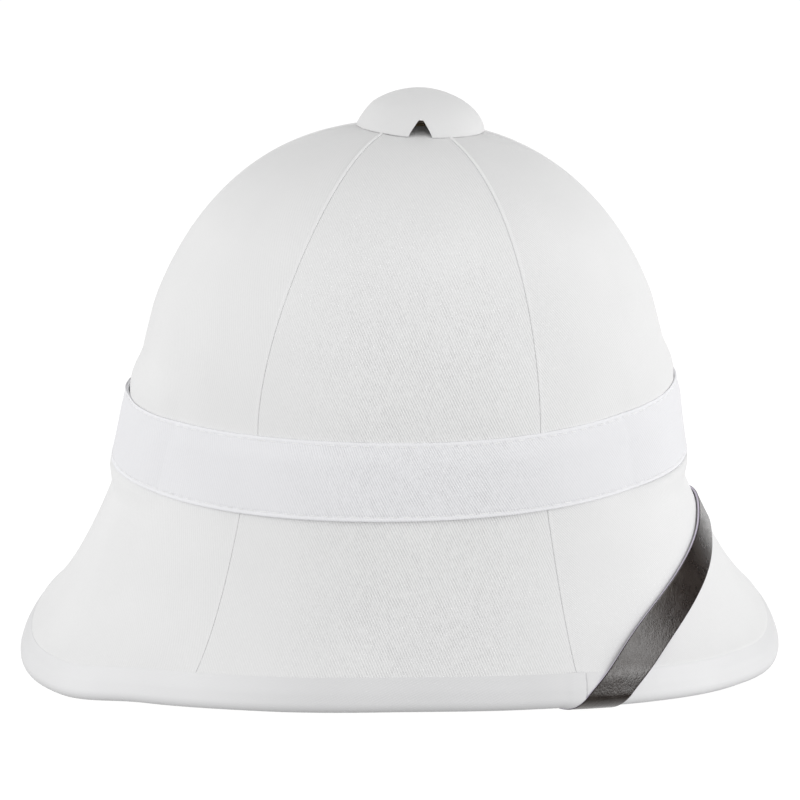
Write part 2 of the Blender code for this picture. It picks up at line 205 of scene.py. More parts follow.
def ring_height(heights, azimuth):
    """Height of a ring given at the front, the back and the sides."""
    front, back, side = heights
    c = np.cos(np.radians(azimuth))
    ends = front * (1 + c) / 2 + back * (1 - c) / 2
    return ends * c * c + side * (1 - c * c)


def crown_height(forward, sideways):
    """Top of the cloth over the crown, by place in the plan."""
    length, width, power, _, centre = PLAN["crown_foot"]
    du = forward - centre
    reach = np.abs(du / length) ** power + np.abs(sideways / width) ** power
    reach = np.clip(reach ** (1 / power), 0.0, 1.0)
    foot = ring_height(CROWN_FOOT_Z, np.degrees(np.arctan2(sideways, du)))
    return foot + (CROWN_TOP_Z - foot) * (1 - reach ** CROWN_POWER) ** (1 / CROWN_ROUND)


def helmet_surface(azimuth, row):
    """Outside of the cloth: rows 0 button, 1 crown foot, 2 break, 3 hem, 4 rim edge."""
    azimuth, row = np.broadcast_arrays(np.asarray(azimuth, float), np.asarray(row, float))
    foot, brk = outline("crown_foot", azimuth), outline("break", azimuth)
    hem, edge = outline("hem", azimuth), outline("edge", azimuth)
    foot_z, break_z = ring_height(CROWN_FOOT_Z, azimuth), ring_height(BREAK_Z, azimuth)
    rim = rim_height(azimuth)
    hem_z, edge_z = rim + HEM_ABOVE_EDGE, rim + EDGE_ABOVE_ROUND
    a = np.clip(row, 0.0, 1.0)
    b, c, d = (np.clip(row - k, 0.0, 1.0) for k in (1, 2, 3))
    crown = (PANEL_POLE_Y + (foot[0] - PANEL_POLE_Y) * a, foot[1] * a)
    flare = (1 - c) * (1 - BRIM_HOLLOW * c)
    parts = [row <= 1, row <= 2, row <= 3]
    out = []
    for k in (0, 1):
        out.append(np.select(parts, [
            crown[k], foot[k] + (brk[k] - foot[k]) * b, brk[k] + (hem[k] - brk[k]) * c,
        ], hem[k] + (edge[k] - hem[k]) * d))
    z = np.select(parts, [
        crown_height(*crown), foot_z + (break_z - foot_z) * b,
        hem_z + (break_z - hem_z) * flare,
    ], hem_z + (edge_z - hem_z) * d)
    return np.stack([-out[1], -out[0], z], -1)


def place(azimuth, row, depth, drop=0.0):
    """Point at a depth under the cloth, moved down the profile by drop."""
    p = helmet_surface(azimuth, row)
    round_about = helmet_surface(azimuth + 0.05, row) - helmet_surface(azimuth - 0.05, row)
    low, high = np.clip(row - 0.01, 0.001, 4.0), np.clip(row + 0.01, 0.001, 4.0)
    down = helmet_surface(azimuth, high) - helmet_surface(azimuth, low)
    normal = unit(np.cross(down, round_about))
    shape = p.shape[:-1]
    depth = np.broadcast_to(depth, shape)[..., None]
    drop = np.broadcast_to(drop, shape)[..., None]
    outward = np.sign(np.sum(normal * p * (1, 1, 0), -1, keepdims=True) + 1e-9)
    outward = np.where(np.broadcast_to(row, shape)[..., None] < 0.9, np.sign(normal[..., 2:]),
                       outward)
    return p - depth * normal * outward + drop * unit(down)


def seam_azimuths(row):
    """Where the front and the back seam of one side run at a row."""
    near_top = 1 - np.clip(row, 0.0, 1.0)
    on_brim = np.clip(row - 2.0, 0.0, 1.0)
    return [s["foot"] + s["bend"] * near_top + s["curl"] * near_top ** 2 + s["brim"] * on_brim
            for s in (FRONT_SEAM, BACK_SEAM)]


def column_azimuth(column, row):
    """Azimuth of a column: whole numbers are the seams, counted from the front."""
    column, row = np.broadcast_arrays(np.asarray(column, float), np.asarray(row, float))
    f, b = seam_azimuths(row)
    knots = [0 * f, f, b, 180 + 0 * f, 360 - b, 360 - f, 360 + 0 * f]
    k = np.clip(np.floor(column).astype(int), 0, PANELS - 1)
    left, right = np.choose(k, knots[:-1]), np.choose(k, knots[1:])
    return left + (right - left) * (column - k)


def band_ease(azimuth):
    """Extra distance of the band from the crown, at the helmet's front and back."""
    c = np.cos(np.radians(azimuth))
    limit = math.cos(math.radians(BAND_EASE_TO))
    part = np.clip((np.abs(c) - limit) / (1 - limit), 0.0, 1.0)
    return np.where(c > 0, *BAND_EASE) * part * (2 - part)


def near_end(c):
    """1 at the very front or back, where the cosine c is 1, fading out round the sides."""
    return smoothstep(math.cos(math.radians(END_SPREAD)), 1.0, c)


def strap_way(azimuth):
    """Distance of the strap's middle round the rim: a fair curve, a little lower on the left."""
    def line(a):
        slipped = smoothstep(14.0, -12.0, a) * smoothstep(-80.0, -12.0, a)
        return smooth_table(STRAP_LINE, np.abs(a)) - STRAP_LEAN * slipped

    shifts = np.linspace(-9.0, 9.0, 19)
    weights = np.exp(-(shifts / 4.0) ** 2 / 2)
    fair = sum(w * line(azimuth + d) for w, d in zip(weights / weights.sum(), shifts))
    outside = smoothstep(66.0, 56.0, np.abs(azimuth))
    return fair * outside + line(azimuth) * (1 - outside)


def along(points, axis=0):
    """Running length of rows of points."""
    steps = np.linalg.norm(np.diff(points, axis=axis), axis=-1)
    start = np.zeros_like(np.take(steps, [0], axis))
    return np.concatenate([start, np.cumsum(steps, axis)], axis)


def unevenness(azimuth, row, size=0.11):
    """The slight unevenness of cloth drawn over pith, in mm."""
    a = np.radians(azimuth)
    return size * (np.sin(7 * a + 1.3 + 2.1 * row) * np.sin(4.3 * row + 0.6 + 2 * a)
                   + 0.6 * np.sin(17 * a + 0.4 - 3.2 * row) * np.sin(8.7 * row + 1.9)
                   + 0.35 * np.sin(31 * a + 2.2 + 6.1 * row))


# Meshes

def add_object(name, data):
    thing = bpy.data.objects.new(name, data)
    bpy.context.collection.objects.link(thing)
    return thing


def build(name, points, faces, uvs, material, fold=None):
    """Object from points in mm, quads and one UV per face corner, facing outwards.

    fold marks, from 0 to 1, the points on a turned edge, where the cloth is drawn smooth and
    painted lighter, a painted highlight.
    """
    points = np.asarray(points, float) * MM
    faces = np.asarray(faces)
    a, b, c, d = (points[faces[:, k]] for k in range(4))
    volume = (np.einsum("ij,ij->i", a, np.cross(b, c)).sum()
              + np.einsum("ij,ij->i", a, np.cross(c, d)).sum())
    if volume < 0:
        faces, uvs = faces[:, ::-1], uvs[:, ::-1]
    polys, loops = [], []
    for quad, corner in zip(faces.tolist(), uvs.tolist()):
        keep = [k for k in range(4) if quad[k] != quad[k - 1]]
        polys.append([quad[k] for k in keep])
        loops.extend(corner[k] for k in keep)
    mesh = bpy.data.meshes.new(name)
    mesh.from_pydata(points.tolist(), [], polys)
    mesh.uv_layers.new(name="UVMap").data.foreach_set("uv", np.array(loops).ravel())
    mesh.polygons.foreach_set("use_smooth", np.ones(len(polys), bool))
    mesh.materials.append(material)
    if fold is not None:
        mesh.attributes.new("fold", "FLOAT", "POINT").data.foreach_set(
            "value", np.ravel(fold).astype(float))
    mesh.update()
    piece = add_object(name, mesh)
    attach(piece, "root")
    return piece


def cells(rows, columns):
    return [g.ravel() for g in np.meshgrid(np.arange(rows), np.arange(columns), indexing="ij")]


def loft(name, points, uv, material, wrap=True, cap=None, fold=None):
    """Closed body from closed sections, [columns][section][xyz].

    uv has one more row where a direction closes on itself. cap closes the two ends of
    columns that don't wrap: "strip" joins the section's first half to its second half.
    """
    cols, count = points.shape[:2]
    i, j = cells(cols if wrap else cols - 1, count)
    n, m = (i + 1) % cols, (j + 1) % count
    faces = np.stack([i * count + j, n * count + j, n * count + m, i * count + m], 1)
    corners = np.stack([uv[i, j], uv[i + 1, j], uv[i + 1, j + 1], uv[i, j + 1]], 1)
    if cap == "strip":
        k = np.arange(count // 2 - 1)
        for col, order in ((0, 1), (cols - 1, -1)):
            strip = col * count + np.stack([k, k + 1, count - 2 - k, count - 1 - k], 1)
            mid = uv[col, k]
            faces = np.concatenate([faces, strip[:, ::order]])
            corners = np.concatenate([corners, np.stack([mid] * 4, 1)])
    return build(name, points.reshape(-1, 3), faces, corners, material, fold)


def turned(name, body, poles, flat, material):
    """Closed body from columns round an axis, [columns][rings][xyz], and its two end points.

    Its UVs are the points seen along one axis: flat names the other two.
    """
    count, rings = body.shape[:2]
    points = np.concatenate([body.reshape(-1, 3), poles])
    i, j = cells(count, rings - 1)
    n = (i + 1) % count
    k = np.arange(count)
    m = (k + 1) % count
    first, last = 0 * k + count * rings, 0 * k + count * rings + 1
    faces = np.concatenate([
        np.stack([i * rings + j, n * rings + j, n * rings + j + 1, i * rings + j + 1], 1),
        np.stack([first, m * rings, k * rings, k * rings], 1),
        np.stack([k * rings + rings - 1, m * rings + rings - 1, last, last], 1)])
    return build(name, points, faces, points[faces][..., flat] * MM, material)


def metres(u, v):
    return np.stack(np.broadcast_arrays(u, v), -1) * MM


def round_uv(azimuth, girth, down, after):
    """UVs of a ring: mm round it and mm along its section, which closes in the last column."""
    u = np.append(azimuth, 360.0)[:, None] / 360.0 * girth
    v = np.concatenate([down, after], 1)
    return metres(u, np.concatenate([v, v[:1]]))


# Materials

class Nodes:
    """Short hand for the node tree of a new material, or for the given one."""

    def __init__(self, name=None, tree=None):
        if tree is None:
            self.material = bpy.data.materials.new(name)
            self.material.use_nodes = True
            tree = self.material.node_tree
            self.shader = tree.nodes["Principled BSDF"]
        self.tree = tree

    def put(self, socket, value):
        if isinstance(value, bpy.types.NodeSocket):
            self.tree.links.new(value, socket)
        elif value is not None:
            socket.default_value = value

    def add(self, kind, inputs=(), out=0, **settings):
        node = self.tree.nodes.new(kind)
        for key, value in settings.items():
            setattr(node, key, value)
        for key, value in dict(inputs).items():
            self.put(node.inputs[key], value)
        return None if out is None else node.outputs[out]

    def math(self, operation, a, b=None, c=None, clamp=False):
        return self.add("ShaderNodeMath", enumerate((a, b, c)), operation=operation,
                        use_clamp=clamp)

    def times(self, *values):
        """Product of sockets and numbers."""
        total = values[0]
        for value in values[1:]:
            total = self.math("MULTIPLY", total, value)
        return total

    def span(self, value, low, high, to_low=0.0, to_high=1.0):
        return self.add("ShaderNodeMapRange", {
            "Value": value, "From Min": low, "From Max": high,
            "To Min": to_low, "To Max": to_high})

    def mix(self, factor, a, b):
        node = self.tree.nodes.new("ShaderNodeMix")
        node.data_type = "RGBA"
        self.put(node.inputs["Factor"], factor)
        for key, value in (("A", a), ("B", b)):
            socket = [s for s in node.inputs if s.name == key and s.type == "RGBA"][0]
            self.put(socket, value)
        return [s for s in node.outputs if s.type == "RGBA"][0]

    def noise(self, vector, scale, detail=2.0, rough=0.5):
        return self.add("ShaderNodeTexNoise", {
            "Vector": vector, "Scale": scale, "Detail": detail, "Roughness": rough})

    def uv_mm(self):
        uv = self.add("ShaderNodeUVMap", uv_map="UVMap")
        split = self.tree.nodes.new("ShaderNodeSeparateXYZ")
        self.put(split.inputs[0], uv)
        return [self.times(split.outputs[k], 1000.0) for k in (0, 1)]

    def place_mm(self):
        coord = self.tree.nodes.new("ShaderNodeTexCoord")
        return self.add("ShaderNodeVectorMath", {0: coord.outputs["Object"], "Scale": 1000.0},
                        operation="SCALE")

    def finish(self, colour, roughness, bumps=(), **values):
        """Set the shader. Each bump is a height, its size in mm and its strength."""
        self.put(self.shader.inputs["Base Color"], colour)
        self.put(self.shader.inputs["Roughness"], roughness)
        for key, value in values.items():
            self.put(self.shader.inputs[key.replace("_", " ")], value)
        normal = None
        for height, distance, strength in bumps:
            normal = self.add("ShaderNodeBump", {
                "Height": height, "Distance": distance * MM, "Strength": strength,
                "Normal": normal})
        self.put(self.shader.inputs["Normal"], normal)
        return self.material


def grey(value, blue=0.0):
    return (value, value, value * (1 + blue), 1.0)


def twill(name, weave, light, dark, blue=0.0, relief=1.0, contrast=1.0, middle=1.0,
          ends=1.0):
    """White cotton twill: diagonal ribs broken into floats, drawn smooth near the top.

    middle is the tone of the lower cloth at the helmet's two sides, and ends is its tone at
    the very front and back: both are painted shade, darker where less light falls.
    """
    n = Nodes(name)
    u, v = n.uv_mm()
    at = n.place_mm()
    slope, pitch, cross_slope, cross_pitch = WEAVES[weave]
    wander = n.math("SUBTRACT", n.noise(at, 0.11, 3.0), 0.5)

    def ribs(degrees, spacing, sway):
        s, c = math.sin(math.radians(degrees)), math.cos(math.radians(degrees))
        across = n.math("SUBTRACT", n.times(u, s / spacing), n.times(v, c / spacing))
        across = n.math("MULTIPLY_ADD", wander, sway, across)
        return n.math("SINE", n.times(across, 2 * math.pi))

    slub = n.span(n.noise(at, 0.8, 2.0), 0.3, 0.7, -1.0, 1.0)
    uneven = n.span(n.noise(at, 0.33, 2.0), 0.3, 0.7, 0.45, 1.15)
    height = n.times(ribs(slope, pitch, 0.6), uneven)
    height = n.math("MULTIPLY_ADD", ribs(cross_slope, cross_pitch, 0.4), 0.16, height)
    height = n.math("MULTIPLY_ADD", slub, 0.28, height)

    # Drawn smooth over the top of the crown and, less, round its front and back.
    back, up = (n.add("ShaderNodeSeparateXYZ", {0: at}, out=k) for k in (1, 2))
    off_middle = n.math("ABSOLUTE", n.math("ADD", back, 12.0))
    fold = n.add("ShaderNodeAttribute", out=2, attribute_name="fold")
    height = n.times(height, n.span(up, 150.0, 218.0, 1.0, 0.16),
                     n.span(off_middle, 22.0, 62.0, 1.0, 0.20),
                     n.math("MULTIPLY_ADD", fold, -0.8, 1.0))
    # The ribs' grooves are also painted darker: painted shade in the weave, beside its bump.
    shade = n.math("MULTIPLY_ADD", height, -0.44 * contrast, 0.5, clamp=True)
    cloth = n.mix(shade, grey(light, blue), grey(dark, blue))
    # Folds and hems lose their grooves and are painted lighter than the cloth: a painted
    # highlight where they catch the light.
    cloth = n.mix(n.times(fold, 0.75), cloth, grey(0.93, blue))
    # Painted shade: darker low on the helmet's two sides (middle), at its very front and back
    # (ends) and towards the top of the crown. The noise is the cloth's own uneven tone.
    painted_side_shade = n.times(n.span(off_middle, 40.0, 92.0, 1.0, 0.0),
                         n.span(up, 84.0, 118.0, 1.0, 0.0))
    tone = n.times(n.span(n.noise(at, 0.03, 3.0), 0.3, 0.7, 0.985, 1.01),
                   n.math("MULTIPLY_ADD", painted_side_shade, middle - 1.0, 1.0),
                   n.span(up, 182.0, 224.0, 1.0, 0.88),
                   n.span(n.math("ABSOLUTE", back), 122.0, 165.0, 1.0, ends))
    cloth = n.add("ShaderNodeVectorMath", {0: cloth, "Scale": tone}, operation="SCALE")
    fuzz = n.noise(at, 6.0, 2.0, 0.7)
    return n.finish(cloth, 0.92, [(height, 0.10, 0.80 * relief), (fuzz, 0.03, 0.25)],
                    Sheen_Weight=0.12, Sheen_Roughness=0.5, Specular_IOR_Level=0.12)


def thread_material():
    n = Nodes("sewing_thread")
    u, v = n.uv_mm()
    ply = n.math("SINE", n.times(n.math("ADD", u, n.times(v, 0.6)), 2 * math.pi / 0.42))
    colour = n.mix(n.span(ply, -1.0, 1.0), grey(0.84), grey(0.94))
    return n.finish(colour, 0.7, [(ply, 0.04, 0.5)], Sheen_Weight=0.15,
                    Specular_IOR_Level=0.3)


def pith_material():
    """Pressed pith: pale tan, fibrous, with flecks and the joins of its sheets."""
    n = Nodes("pith_bare")
    at = n.place_mm()
    fibre = n.noise(n.add("ShaderNodeMapping", {"Vector": at, "Scale": (0.25, 0.25, 1.3)}),
                    1.2, 5.0, 0.6)
    mottle = n.span(n.noise(at, 0.07, 3.0), 0.35, 0.65)
    fleck = n.span(n.noise(at, 1.6, 2.0), 0.63, 0.72)
    base = n.mix(mottle, (0.60, 0.49, 0.33, 1.0), (0.70, 0.60, 0.43, 1.0))
    base = n.mix(n.span(fibre, 0.3, 0.75), base, (0.54, 0.43, 0.28, 1.0))
    base = n.mix(fleck, base, (0.33, 0.24, 0.14, 1.0))
    return n.finish(base, 0.93, [(fibre, 0.35, 0.6), (fleck, 0.15, 0.4)],
                    Specular_IOR_Level=0.2)


def leather_material():
    """Black strap leather: wrinkled grain, worn sheen, burnished edges with a pale core."""
    n = Nodes("strap_leather")
    _, mark = n.uv_mm()
    at = n.place_mm()
    # The strap runs up and forward on both sides, and its wrinkles with it.
    with_strap = n.add("ShaderNodeMapping", {
        "Vector": at, "Rotation": (math.radians(122.0), 0.0, 0.0), "Scale": (1.0, 2.2, 1.0)},
        vector_type="TEXTURE")
    cells = n.add("ShaderNodeTexVoronoi", {"Vector": with_strap, "Scale": 0.95,
                                           "Randomness": 1.0}, feature="DISTANCE_TO_EDGE")
    grain = n.span(cells, 0.0, 0.30)
    wrinkle = n.noise(with_strap, 0.55, 3.0, 0.6)
    pores = n.noise(at, 2.2, 3.0, 0.6)
    worn = n.span(n.noise(at, 0.09, 4.0), 0.42, 0.68)
    face = n.mix(worn, (0.015, 0.010, 0.008, 1.0), (0.026, 0.019, 0.015, 1.0))
    middle = n.math("ABSOLUTE", mark)
    core = n.span(middle, 0.26, 0.44, 1.0, 0.0)
    edge = n.span(middle, 0.68, 0.95, 1.0, 0.0)
    colour = n.mix(edge, face, (0.21, 0.185, 0.24, 1.0))
    colour = n.mix(core, colour, (0.74, 0.69, 0.80, 1.0))
    rough = n.math("MULTIPLY_ADD", worn, 0.08, n.span(wrinkle, 0.3, 0.7, 0.24, 0.33))
    rough = n.math("MULTIPLY_ADD", edge, 0.2, rough)
    return n.finish(colour, rough, [(grain, 0.05, 0.5), (wrinkle, 0.18, 0.6),
                                    (pores, 0.05, 0.4)],
                    Specular_IOR_Level=0.55)


def steel_material():
    n = Nodes("stud_steel_brushed")
    at = n.place_mm()
    lines = n.noise(n.add("ShaderNodeMapping", {"Vector": at, "Scale": (0.4, 6.0, 6.0)}),
                    2.0, 2.0)
    return n.finish(n.mix(lines, grey(0.50), grey(0.62)), n.span(lines, 0.3, 0.7, 0.25, 0.42),
                    [(lines, 0.02, 0.3)], Metallic=1.0)


# middle and ends below are painted shade: darker cloth low on the two sides and, on the tape, at
# the front and back.
CLOTH = twill("gore_twill", "gore", 0.92, 0.70, middle=0.95)
BAND = twill("band_twill", "band", 0.92, 0.70, blue=0.024, middle=0.965)
TAPE = twill("tape_twill", "tape", 0.885, 0.74, blue=0.008, relief=0.25, contrast=0.25,
             middle=0.87, ends=0.90)
BUTTON = twill("button_twill", "button", 0.875, 0.805, relief=0.3, contrast=0.4)
THREAD = thread_material()


# Gores

SEAM_STEPS = np.array((0.04, 0.09, 0.18, 0.30, 0.45, 0.65, 0.85, 1.05, 1.25, 1.42, 1.56, 1.75,
                       2.2, 3.0, 4.0))
FOLD_WIDTH = 1.5
# Which edges of each gore carry the turned-in fold that lies over the neighbour's edge.
GORES = (
    # piece, node, fold at its first edge, fold at its last edge
    ("gore_front_right", "panel_front_right", True, True),
    ("gore_right", "panel_right", False, False),
    ("gore_back_right", "panel_back_right", True, False),
    ("gore_back_left", "panel_back_left", True, True),
    ("gore_left", "panel_left", False, False),
    ("gore_front_left", "panel_front_left", False, True),
)


def fold_height(row):
    """The fold is thick near the button, where the cloth gathers, and fades downwards."""
    return np.interp(row, (0.0, 0.30, 0.50, 0.75, 1.0, 2.0, 2.1, 4.0),
                     (0.62, 0.60, 0.42, 0.16, 0.06, 0.06, 0.05, 0.04))


def drawn_out(azimuth, row):
    """At the front and back the cloth comes out to the band, and fills in under its foot.

    Just above the band it lies a little deeper there.
    """
    c = np.cos(np.radians(azimuth))
    end = near_end(np.abs(c))
    above = -CLOTH_IN_ABOVE * end * smoothstep(0.92, 0.965, row) * smoothstep(1.0, 0.985, row)
    under_band = 1.02 * band_ease(azimuth) * smoothstep(0.978, 1.0, row) \
        * smoothstep(2.12, 2.01, row)
    below = np.where(c > 0, *CLOTH_OUT_BELOW) * end * smoothstep(2.0, 2.02, row) \
        * smoothstep(2.13, 2.03, row)
    return above + under_band + below


def make_gore(index, name, node, fold_first, fold_last):
    """One gore of the cover, from the button down to the rim's edge, 1 mm thick."""
    rows = np.concatenate([
        np.linspace(0.10, 0.95, 78), 1 - 0.045 * np.linspace(1, 0, 10) ** 2,
        np.linspace(1.2, 1.8, 4), np.linspace(1.9, 2.1, 11),
        np.linspace(2.12, 3.0, 45), np.linspace(3.1, 4.0, 5)])[None, :]
    fine = helmet_surface(column_azimuth(index + np.linspace(0, 1 - 1e-9, 33)[:, None], rows),
                          rows)
    length = along(fine)                                  # [33][rows]
    width = length[-1]
    inner = 46
    edge = SEAM_STEPS[:, None] * np.minimum(1.0, width / 14.0)[None, :]
    inside = (edge[-1] + (width - 2 * edge[-1])
              * np.linspace(0, 1, inner + 2)[1:-1, None])
    place_across = np.concatenate([edge, inside, (width - edge)[::-1]])
    column = np.stack([np.interp(place_across[:, k], length[:, k], np.linspace(0, 1, 33))
                       for k in range(rows.shape[1])], 1)
    azimuth = column_azimuth(index + np.clip(column, 0, 1 - 1e-9), rows)

    def from_edge(distance, fold):
        own = distance - SEAM_STEPS[0]
        radius = 0.30
        drop = radius - np.sqrt(np.maximum(radius ** 2 - np.clip(radius - own, 0, radius) ** 2,
                                           0.0))
        if fold:
            across = np.clip((own - FOLD_WIDTH / 2) / (FOLD_WIDTH / 2), -1, 1)
            drop = drop * 0.6 - fold_height(rows) * np.sqrt(1 - across ** 2 * 0.999)
        else:
            drop = drop - 0.30 * fold_height(rows) * (1 - smoothstep(0.0, 2.2, own))
        return drop

    depth = (from_edge(place_across, fold_first) + from_edge(width - place_across, fold_last)
             - unevenness(azimuth, rows) * smoothstep(0.0, 8.0, place_across)
             * smoothstep(0.0, 8.0, width - place_across) * smoothstep(4.0, 3.4, rows)
             * (1 - np.exp(-((rows - 3.0) / 0.05) ** 2))
             - drawn_out(azimuth, rows))
    top = place(azimuth, rows, depth)
    under = place(azimuth, rows, COVER[1] + 0 * azimuth)
    down = along(fine[16][:, None], 0)[:, 0]
    u = width / 2 - place_across
    uv = metres(u, down[None, :] + 0 * u)
    section = np.concatenate([top, under[:, ::-1]], 1)
    uv = np.concatenate([uv, uv[:, ::-1], uv[:, :1]], 1)
    # The fold mask smooths the folds' weave and paints them lighter, a painted highlight.
    strength = fold_height(rows) / fold_height(0.0)
    fold = sum(strength * (1 - smoothstep(FOLD_WIDTH * 0.8, FOLD_WIDTH * 1.1, distance))
               for distance, folded in ((place_across, fold_first),
                                        (width - place_across, fold_last)) if folded)
    fold = np.concatenate([fold + 0 * u, 0 * u], 1)
    piece = loft(name, section, uv, CLOTH, wrap=False, cap="strip", fold=fold)
    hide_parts(node)


for number, gore in enumerate(GORES):
    make_gore(number, *gore)


# Hat band

def ring(count, row):
    """Azimuths of equal steps along one row of the surface."""
    fine = np.linspace(0.0, 360.0, 1441)
    length = along(helmet_surface(fine, row + 0 * fine))
    return np.interp(np.linspace(0, length[-1], count + 1)[:-1], length, fine), length[-1]


def band_height(azimuth):
    """Width of the band's place on the surface."""
    p = helmet_surface(np.stack([azimuth, azimuth]), np.array([[1.0], [2.0]]))
    return np.linalg.norm(p[1] - p[0], axis=-1)


def band_offset(q):
    return BAND_TOP + (BAND_FOOT - BAND_TOP) * q


def band_stand(azimuth, down):
    """How far the band stands off beyond its even offset, at a distance from its top edge."""
    lean = BAND_FRONT_LEAN * near_end(np.cos(np.radians(azimuth)))
    return band_ease(azimuth) + lean * (down / BAND_WIDTH) ** 2


def band_hugs(azimuth):
    """1 where the top edge hugs the crown: less at the very front, not at the very back."""
    from_back = np.abs(azimuth % 360.0 - 180.0)
    return smoothstep(2.0, 15.0, from_back) \
        * (1 - 0.45 * np.exp(-((180.0 - from_back) / 13.0) ** 2))


def band_tuck(azimuth, down):
    """How far the top edge is drawn in towards the crown."""
    return BAND_TUCK * band_hugs(azimuth) * (1 - smoothstep(0.5, 9.0, down))


def band_relief(distance, step):
    """Stitched hem: raised fold at the edge, a dip along the stitches, puckers at holes."""
    phase = step % 1.0
    hole = np.exp(-(np.minimum(phase, 1 - phase) / 0.13) ** 2)
    hem = 0.12 * (1 - smoothstep(STITCH_INSET - 0.5, STITCH_INSET + 0.2, distance))
    dip = np.exp(-((distance - STITCH_INSET) / 0.42) ** 2) * (0.20 + 0.24 * hole)
    return hem - dip


def make_band():
    """Folded cloth strip, hemmed and stitched along both edges."""
    count = 1040
    azimuth, girth = ring(count, 1.5)
    height = band_height(azimuth)[:, None]
    step = (np.arange(count) / count * round(girth / STITCH_PITCH))[:, None]
    down = np.concatenate([
        np.array((0.0, 0.12, 0.35, 0.7, 1.1, 1.4, 1.65, 1.9, 2.15, 2.5, 3.0, 4.0)),
        np.linspace(6.0, 22.5, 9)])
    down = np.concatenate([down, BAND_WIDTH - down[:12][::-1]])[None, :] * height / BAND_WIDTH
    q = down / height
    round_off = 0.5 - np.sqrt(np.maximum(
        0.25 - np.clip(0.5 - np.minimum(down, height - down), 0, 0.5) ** 2, 0.0))
    az = azimuth[:, None]
    wave = (0.10 * np.sin(np.radians(az) * 5 + 1.0) * np.sin(math.pi * q)
            + 0.07 * np.sin(np.radians(az) * 23 + 6 * q))
    outer = (band_offset(q) - round_off + wave - 0.1 - band_tuck(az, down)
             + band_relief(down, step) + band_relief(height - down, step + 0.4))
    outer = np.minimum(outer, band_offset(q) + 0.15) + band_stand(az, down)
    # The inner face, from the foot up. Its top lies against the cloth, or stands off with it.
    back = np.array((0.985, 0.9, 0.6, 0.3, 0.14, 0.05, 0.012))[None, :] + 0 * height
    against = np.array((0.0, 0.0, 0.0, 0.0, 0.04, 0.22, 0.42))
    away = np.array((0.0, 0.0, 0.0, 0.1, 0.4, 0.7, 0.9))
    hugs = band_hugs(az)
    lean = 0.30 - against * hugs + away * (1 - hugs) + band_stand(az, back * height)
    points = np.concatenate([place(az, 1 + q, -outer), place(az, 1 + back, -lean)], 1)
    uv = round_uv(azimuth, -girth, down, np.concatenate([back * height, down[:, :1]], 1))
    # The hems are marked as folds: drawn smooth and painted lighter, a painted highlight.
    hem = 1 - smoothstep(STITCH_INSET - 0.6, STITCH_INSET, np.minimum(down, height - down))
    fold = np.concatenate([0.55 * hem, 0 * lean], 1)
    band = loft("band_cloth", points, uv, BAND, fold=fold)
    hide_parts("hat_band")


def make_band_stitches():
    """One short thread arc for each stitch, sunk at both ends."""
    number = round(ring(10, 1.5)[1] / STITCH_PITCH)
    even, _ = ring(number, 1.5)
    half = STITCH_LENGTH / STITCH_PITCH / 2 * 360.0 / number
    sides, rings = 6, 7
    t = np.linspace(-1, 1, rings)
    turn = 2 * math.pi * np.arange(sides)[None, :, None] / sides
    arcs = []
    for row_at, shift in ((0, 0.0), (1, 0.4)):
        for k in range(number):
            az = even[k] + (0.5 + shift) * 360.0 / number \
                + half * t * (1 + 0.04 * math.sin(2.7 * k))
            height = band_height(az)
            inset = STITCH_INSET + 0.10 * math.sin(1.9 * k) * t
            q = np.where(row_at == 0, inset / height, 1 - inset / height)
            lift = (band_offset(q) + band_stand(az, q * height) - band_tuck(az, q * height)
                    - 0.20 - 0.40 * t ** 4)
            centre = place(az, 1 + q, -lift)
            out = unit(place(az, 1 + q, -lift - 0.1) - centre)
            side = np.cross(unit(np.gradient(centre, axis=0)), out)
            radius = THREAD_R * (1 - 0.35 * t ** 4)[:, None, None]
            arcs.append(centre[:, None] + radius * (np.cos(turn) * out[:, None]
                                                    + np.sin(turn) * side[:, None]))
    i, j = cells(rings - 1, sides)
    m = (j + 1) % sides
    tube = np.stack([i * sides + j, (i + 1) * sides + j, (i + 1) * sides + m, i * sides + m], 1)
    ends = np.array([[0, 1, 2, 3], [0, 3, 4, 5]])
    quads = np.concatenate([tube, ends[:, ::-1], (rings - 1) * sides + ends])
    spin = np.stack([j, j, j + 1, j + 1], 1) * 0.25
    run = np.stack([i, i + 1, i + 1, i], 1) * STITCH_LENGTH / (rings - 1)
    corners = np.concatenate([metres(run, spin), np.zeros((4, 4, 2))])
    base = np.arange(len(arcs))[:, None, None] * sides * rings
    build("band_stitching", np.reshape(arcs, (-1, 3)), (base + quads).reshape(-1, 4),
          np.tile(corners, (len(arcs), 1, 1)), THREAD)


make_band()
make_band_stitches()


# Rim binding

